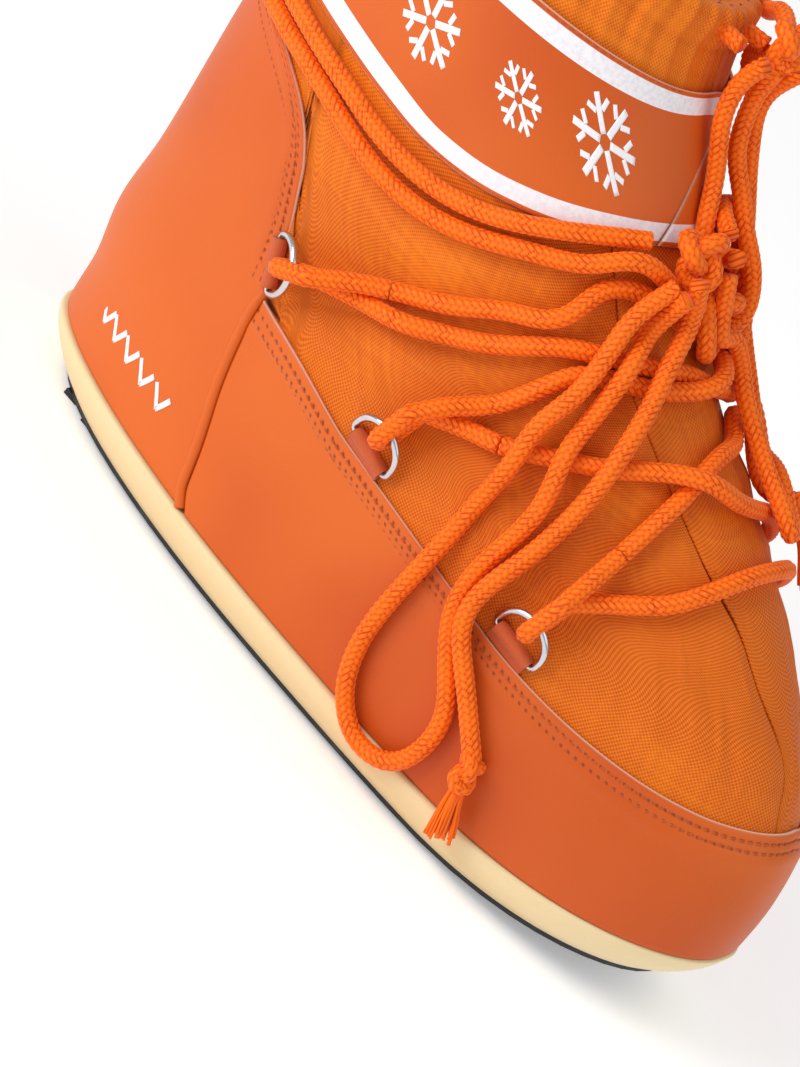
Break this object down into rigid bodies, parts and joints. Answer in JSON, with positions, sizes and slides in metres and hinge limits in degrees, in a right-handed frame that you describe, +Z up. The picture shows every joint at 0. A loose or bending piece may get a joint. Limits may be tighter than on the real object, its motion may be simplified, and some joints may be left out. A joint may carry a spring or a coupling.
{
  "type": "padded snow boot",
  "caption": "Low padded winter boot with a woven shell, smooth mudguard, heel counter and ankle band, a pale moulded sole, and a round cord laced over hinged D-rings.",
  "frame": {"origin": "middle of the foot's length, on the surface the sole stands on", "axes": "+X towards the toe, +Z up the shaft, -Y to the wearer's right-hand side of the boot"},
  "size_m": [0.3446, 0.1445, 0.2579],
  "materials": {
    "tread_rubber": "moulded bars",
    "cream_polyurethane": "smooth satin foam skin",
    "board": "pressed fibre",
    "felt": "felt",
    "foam": "open-cell foam",
    "fleece": "brushed fleece",
    "overlay_leatherette": "fine-grained satin",
    "woven_nylon": "basket weave with a soft sheen",
    "webbing": "flat webbing",
    "ring_steel": "polished plated steel wire",
    "lace_cord": "braided",
    "drawstring_cord": "braided"
  },
  "bodies": {
    "boot": {"outsole": "tread_rubber", "midsole": "cream_polyurethane", "insole_board": "board", "footbed": "felt", "foam_liner": "foam", "fleece_lining": "fleece", "heel_stiffener": "board", "toe_puff": "board", "mudguard": "overlay_leatherette", "heel_counter": "overlay_leatherette", "piping_right": "overlay_leatherette", "piping_left": "overlay_leatherette", "quarter_right": "woven_nylon", "quarter_left": "woven_nylon", "vamp_panel": "woven_nylon", "ankle_band_right": "overlay_leatherette", "ankle_band_left": "overlay_leatherette", "collar": "woven_nylon", "ring_loop_1_right": "webbing", "ring_loop_2_right": "webbing", "ring_loop_3_right": "webbing", "ring_loop_1_left": "webbing", "ring_loop_2_left": "webbing", "ring_loop_3_left": "webbing", "lace_vamp": "lace_cord", "lace_low_right": "lace_cord", "lace_low_left": "lace_cord", "lace_mid_right": "lace_cord", "lace_mid_left": "lace_cord", "lace_wrap_right": "lace_cord", "lace_wrap_left": "lace_cord", "bow_knot": "lace_cord", "bow_loop_right": "lace_cord", "bow_loop_left": "lace_cord", "bow_tail_right": "lace_cord", "bow_tail_left": "lace_cord", "bow_end_right": "lace_cord", "bow_end_left": "lace_cord", "drawstring": "drawstring_cord", "drawstring_knot": "drawstring_cord", "drawstring_loop_right": "drawstring_cord", "drawstring_loop_left": "drawstring_cord", "drawstring_tail_side": "drawstring_cord", "drawstring_tail_front": "drawstring_cord", "drawstring_end_side": "drawstring_cord", "drawstring_end_front": "drawstring_cord"},
    "ring_1_right": {"d_ring_1_right": "ring_steel", "lace_turn_1_right": "lace_cord"},
    "ring_2_right": {"d_ring_2_right": "ring_steel", "lace_turn_2_right": "lace_cord"},
    "ring_3_right": {"d_ring_3_right": "ring_steel", "lace_turn_3_right": "lace_cord"},
    "ring_1_left": {"d_ring_1_left": "ring_steel", "lace_turn_1_left": "lace_cord"},
    "ring_2_left": {"d_ring_2_left": "ring_steel", "lace_turn_2_left": "lace_cord"},
    "ring_3_left": {"d_ring_3_left": "ring_steel", "lace_turn_3_left": "lace_cord"}
  },
  "joints": [
    {"name": "ring_1_right_swing", "type": "hinge", "parent": "boot", "child": "ring_1_right", "pos_m": [-0.0916, -0.0544, 0.0965], "axis": [0.5071, -0.091, -0.8571], "range_deg": [0, 30]},
    {"name": "ring_2_right_swing", "type": "hinge", "parent": "boot", "child": "ring_2_right", "pos_m": [-0.0265, -0.0587, 0.0803], "axis": [0.982, -0.007, -0.189], "range_deg": [0, 30]},
    {"name": "ring_3_right_swing", "type": "hinge", "parent": "boot", "child": "ring_3_right", "pos_m": [0.048, -0.0547, 0.0725], "axis": [0.9828, 0.102, -0.154], "range_deg": [0, 30]},
    {"name": "ring_1_left_swing", "type": "hinge", "parent": "boot", "child": "ring_1_left", "pos_m": [-0.0916, 0.0544, 0.0965], "axis": [-0.5071, -0.091, 0.8571], "range_deg": [0, 30]},
    {"name": "ring_2_left_swing", "type": "hinge", "parent": "boot", "child": "ring_2_left", "pos_m": [-0.0265, 0.0587, 0.0803], "axis": [-0.982, -0.007, 0.189], "range_deg": [0, 30]},
    {"name": "ring_3_left_swing", "type": "hinge", "parent": "boot", "child": "ring_3_left", "pos_m": [0.048, 0.0547, 0.0725], "axis": [-0.9828, 0.102, 0.154], "range_deg": [0, 30]}
  ]
}
